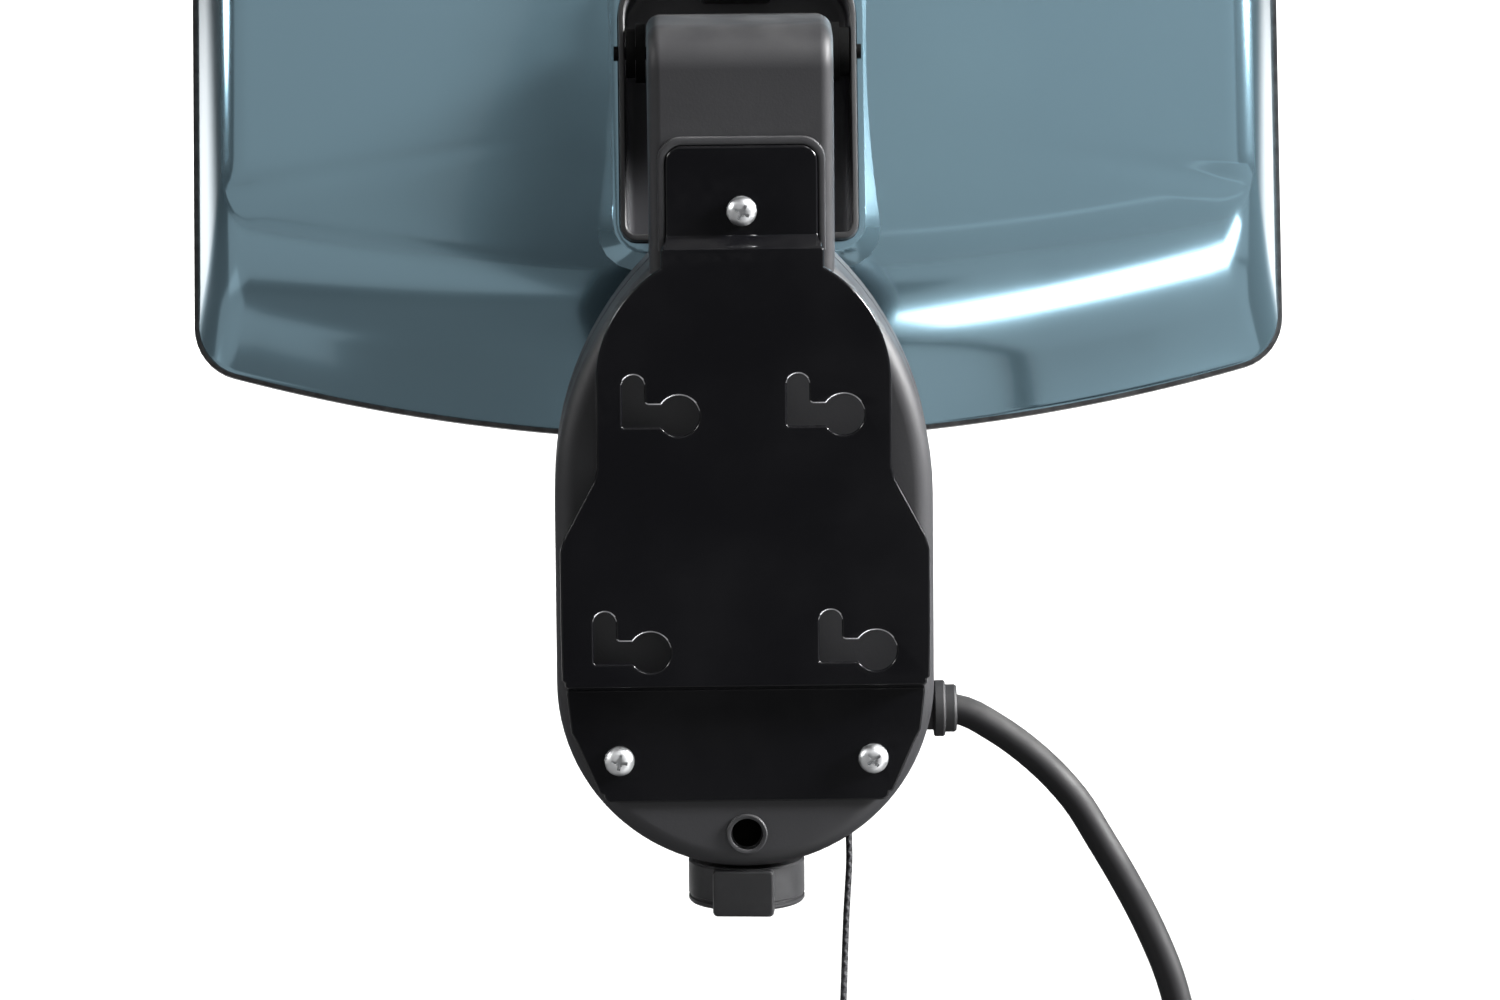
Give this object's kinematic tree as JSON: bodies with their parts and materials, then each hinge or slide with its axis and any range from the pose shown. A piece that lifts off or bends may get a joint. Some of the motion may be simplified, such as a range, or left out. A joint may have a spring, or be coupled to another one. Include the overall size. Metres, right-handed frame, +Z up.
{
  "type": "wall-mounted radiant heater",
  "caption": "Wall-mounted electric radiant heater: keyhole wall plate, switch housing with pull cord and rotary selector, tilting enamelled hood, guard and quartz tubes.",
  "frame": {"origin": "on the wall face of the mounting plate, in the middle of its keyhole pattern", "axes": "+X along the wall, +Y away from the wall, +Z up"},
  "size_m": [0.4259, 0.171, 0.5991],
  "materials": {
    "plate_black": "glossy black powder coat",
    "zinc": "zinc plated",
    "housing_plastic": "matte charcoal, fine grain",
    "black_plastic": "satin black",
    "black_rubber": "satin rubber",
    "clamp_plastic": "natural nylon",
    "brass": "bright",
    "ceramic": "steatite",
    "enamel": "glossy blue-grey enamel",
    "frame_black": "satin black",
    "chrome": "bright",
    "mirror_aluminium": "polished",
    "quartz": "milky quartz",
    "pull_braid": "braided polyester",
    "wire_silicone": "silicone sleeve"
  },
  "bodies": {
    "base": {"mount_plate": "plate_black", "plate_screws": "zinc", "rear_shell": "housing_plastic", "front_shell": "housing_plastic", "shell_gasket": "black_rubber", "housing_screws": "zinc", "cable_gland": "black_rubber", "cord_clamp": "clamp_plastic", "clamp_screws": "zinc", "terminal_block": "clamp_plastic", "terminal_screws": "brass", "switch_body": "black_plastic", "lever_pin": "zinc", "return_spring": "zinc", "cord_eyelet": "black_plastic", "selector_switch": "black_plastic", "shaft_bush": "brass", "neck_cable": "wire_silicone", "power_cord_lead": "black_rubber", "power_cord_coil": "black_rubber", "power_cord_tail": "black_rubber", "cord_tie": "black_plastic", "plug_body": "black_rubber", "plug_pins": "zinc"},
    "hood": {"tilt_pin": "zinc", "pin_caps": "black_plastic", "friction_washers": "zinc", "pocket_tub": "black_plastic", "tub_screws": "zinc", "hood_shell": "enamel", "front_frame": "frame_black", "frame_screws": "zinc", "guard_grille": "chrome", "reflector": "mirror_aluminium", "reflector_brackets": "zinc", "end_plates": "zinc", "ceramic_caps": "ceramic", "quartz_tubes": "quartz", "hood_terminal_block": "ceramic", "thermal_cutout": "zinc", "hood_wires": "wire_silicone"},
    "pull": {"pull_cord": "pull_braid", "pull_stop": "zinc", "pull_toggle": "black_plastic"},
    "lever": {"switch_lever": "clamp_plastic"},
    "selector": {"selector_shaft": "zinc", "selector_knob": "housing_plastic"}
  },
  "joints": [
    {"name": "hood_tilt", "type": "hinge", "parent": "base", "child": "hood", "pos_m": [0, 0.085, 0.132], "axis": [1, 0, 0], "range_deg": [-8, 25]},
    {"name": "pull_travel", "type": "slide", "parent": "base", "child": "pull", "axis": [0, 0, -1], "range_m": [0, 0.01], "stiffness_N_per_m": 150, "springref_m": -0.008},
    {"name": "lever_turn", "type": "hinge", "parent": "base", "child": "lever", "pos_m": [0.011, 0.03, -0.062], "axis": [0, 1, 0], "range_deg": [0, 35.1]},
    {"name": "selector_turn", "type": "hinge", "parent": "base", "child": "selector", "pos_m": [0, 0.03, -0.11], "axis": [0, 0, -1], "range_deg": [0, 270]}
  ],
  "couplings": [
    {"joint": "lever_turn", "follows": "pull_travel", "rad_per_m": 61.087}
  ]
}
